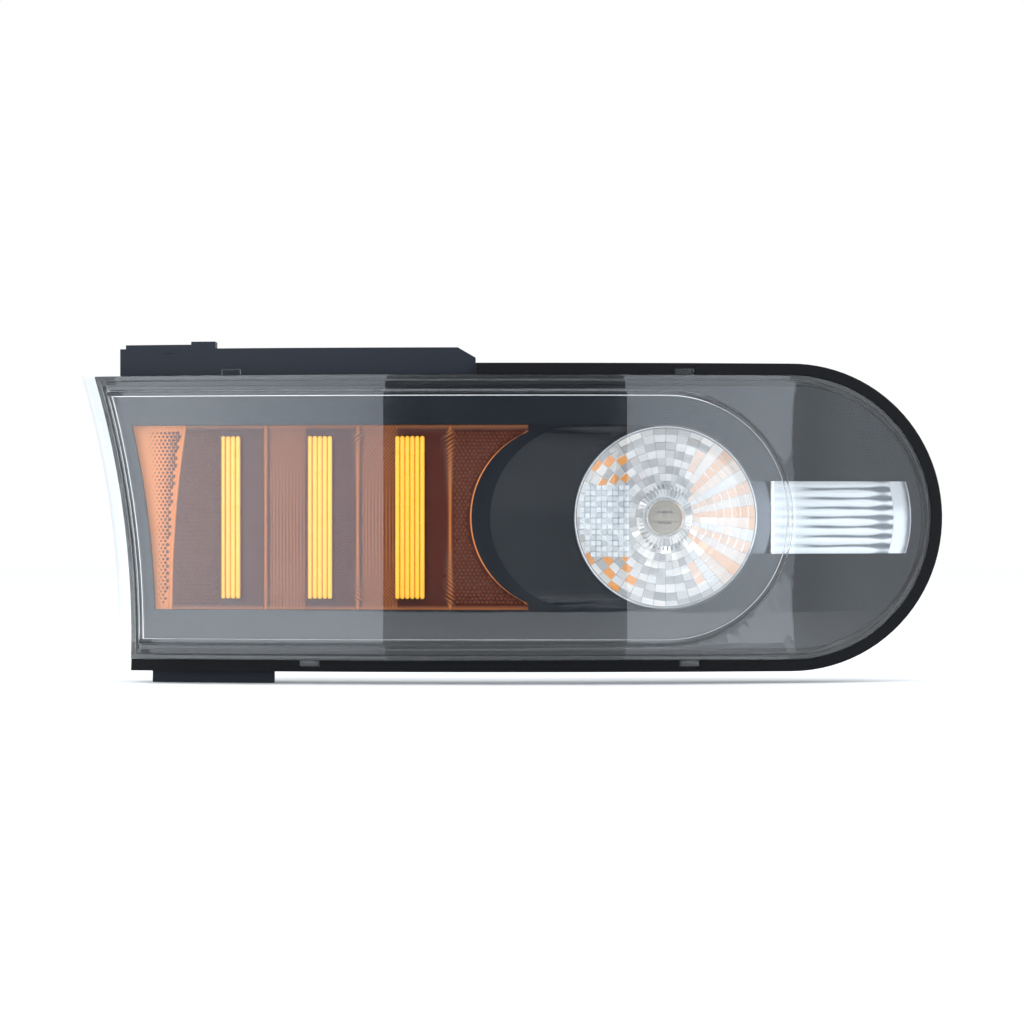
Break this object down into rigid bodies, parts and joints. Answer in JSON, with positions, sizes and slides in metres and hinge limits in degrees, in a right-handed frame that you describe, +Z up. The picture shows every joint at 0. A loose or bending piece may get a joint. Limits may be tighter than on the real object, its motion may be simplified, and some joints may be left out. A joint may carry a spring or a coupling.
{
  "type": "front corner lamp",
  "caption": "Wrap-around front corner lamp with a rounded end, an amber louvred side marker, a round turn-signal unit and a clear strip under one clear lens.",
  "frame": {"origin": "midway between the two upper bolts, on the top face of their bracket", "axes": "+Z up, +Y towards the car (the lens faces -Y), +X from the concave end to the round end"},
  "size_m": [0.4401, 0.1185, 0.1735],
  "materials": {
    "housing_plastic": "fine moulded grain",
    "clear_lens": "polished clear polycarbonate",
    "butyl_seal": "dull",
    "rim_rubber": "satin",
    "black_gloss": "gloss",
    "silvered": "vacuum-metallised",
    "clear_optic": "clear, fluted",
    "amber_plastic": "translucent amber",
    "yellow_optic": "translucent yellow-amber, fluted",
    "bracket_plastic": "satin",
    "zinc_screws": "zinc plated",
    "zinc_bush": "yellow zinc",
    "nylon_pin": "natural nylon",
    "vent_rubber": "matt",
    "filter_felt": "felt",
    "socket_plastic": "satin",
    "seal_rubber": "satin",
    "terminal_brass": "tinned brass",
    "bulb_base": "satin",
    "bulb_glass": "clear glass",
    "filament_wire": "wire"
  },
  "bodies": {
    "lamp": {"housing": "housing_plastic", "lens_cover": "clear_lens", "lens_seal": "butyl_seal", "rim_gasket": "rim_rubber", "bezel": "black_gloss", "turn_reflector": "silvered", "inner_lens": "clear_optic", "strip_reflector": "silvered", "strip_lens": "clear_optic", "amber_lens": "amber_plastic", "amber_bar_inner": "yellow_optic", "amber_bar_middle": "yellow_optic", "amber_bar_outer": "yellow_optic", "marker_reflector": "silvered", "upper_bracket": "bracket_plastic", "lower_bracket": "bracket_plastic", "bezel_screws": "zinc_screws", "reflector_screws": "zinc_screws", "bracket_screws": "zinc_screws", "bolt_bushes": "zinc_bush", "locating_pin": "nylon_pin", "vent_caps": "vent_rubber", "vent_filters": "filter_felt"},
    "turn_holder": {"turn_socket": "socket_plastic", "turn_gasket": "seal_rubber", "turn_terminals": "terminal_brass", "turn_bulb_base": "bulb_base", "turn_bulb_glass": "bulb_glass", "turn_bulb_filaments": "filament_wire"},
    "marker_holder": {"marker_socket": "socket_plastic", "marker_gasket": "seal_rubber", "marker_terminals": "terminal_brass", "marker_bulb_glass": "bulb_glass", "marker_bulb_filament": "filament_wire"}
  },
  "joints": [
    {"name": "turn_socket_twist", "type": "hinge", "parent": "lamp", "child": "turn_holder", "pos_m": [0.19, 0.01375, -0.086], "axis": [0, 1, 0], "range_deg": [0, 45]},
    {"name": "marker_socket_twist", "type": "hinge", "parent": "lamp", "child": "marker_holder", "pos_m": [0.02, 0.01537, -0.086], "axis": [0, 1, 0], "range_deg": [0, 45]}
  ]
}
